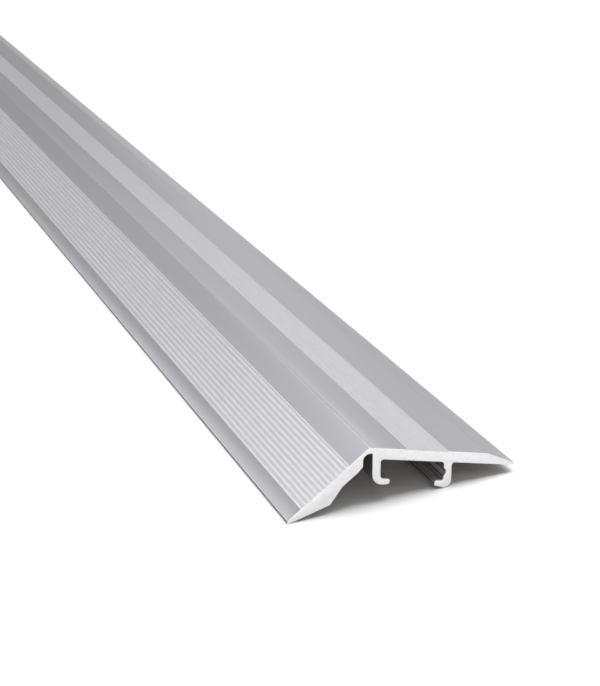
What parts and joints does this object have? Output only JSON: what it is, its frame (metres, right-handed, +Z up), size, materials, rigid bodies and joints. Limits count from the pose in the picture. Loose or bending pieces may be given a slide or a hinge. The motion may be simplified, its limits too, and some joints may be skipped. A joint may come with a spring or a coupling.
{
  "type": "threshold strip",
  "caption": "Ramped aluminium floor threshold strip with a ribbed slope, a ribbed deck and a bevelled wing, over a hooked channel that holds sliding screw fixings and floor plugs.",
  "frame": {"origin": "on the lower floor, on the line of the fixing screws, halfway along the strip", "axes": "+X across the doorway from the ramp's nose to the wing's nose, +Y along the strip, +Z up"},
  "size_m": [0.048, 0.9, 0.0425],
  "materials": {
    "anodised_aluminium": "satin silver anodised, fine lengthwise extrusion lines, sawn ends bright",
    "slider_nylon": "moulded nylon, fine grain",
    "zinc_steel": "bright zinc plate",
    "plug_nylon": "moulded nylon, light grey"
  },
  "bodies": {
    "cover": {"cover_profile": "anodised_aluminium"},
    "fixing_1": {"slider_1": "slider_nylon", "screw_1": "zinc_steel", "floor_plug_1": "plug_nylon"},
    "fixing_2": {"slider_2": "slider_nylon", "screw_2": "zinc_steel", "floor_plug_2": "plug_nylon"},
    "fixing_3": {"slider_3": "slider_nylon", "screw_3": "zinc_steel", "floor_plug_3": "plug_nylon"},
    "fixing_4": {"slider_4": "slider_nylon", "screw_4": "zinc_steel", "floor_plug_4": "plug_nylon"},
    "fixing_5": {"slider_5": "slider_nylon", "screw_5": "zinc_steel", "floor_plug_5": "plug_nylon"},
    "fixing_6": {"slider_6": "slider_nylon", "screw_6": "zinc_steel", "floor_plug_6": "plug_nylon"},
    "fixing_7": {"slider_7": "slider_nylon", "screw_7": "zinc_steel", "floor_plug_7": "plug_nylon"}
  },
  "joints": [
    {"name": "fixing_1_slide", "type": "slide", "parent": "cover", "child": "fixing_1", "axis": [0, 1, 0], "range_m": [-0.045, 0.045]},
    {"name": "fixing_2_slide", "type": "slide", "parent": "cover", "child": "fixing_2", "axis": [0, 1, 0], "range_m": [-0.045, 0.045]},
    {"name": "fixing_3_slide", "type": "slide", "parent": "cover", "child": "fixing_3", "axis": [0, 1, 0], "range_m": [-0.045, 0.045]},
    {"name": "fixing_4_slide", "type": "slide", "parent": "cover", "child": "fixing_4", "axis": [0, 1, 0], "range_m": [-0.045, 0.045]},
    {"name": "fixing_5_slide", "type": "slide", "parent": "cover", "child": "fixing_5", "axis": [0, 1, 0], "range_m": [-0.045, 0.045]},
    {"name": "fixing_6_slide", "type": "slide", "parent": "cover", "child": "fixing_6", "axis": [0, 1, 0], "range_m": [-0.045, 0.045]},
    {"name": "fixing_7_slide", "type": "slide", "parent": "cover", "child": "fixing_7", "axis": [0, 1, 0], "range_m": [-0.045, 0.045]}
  ]
}
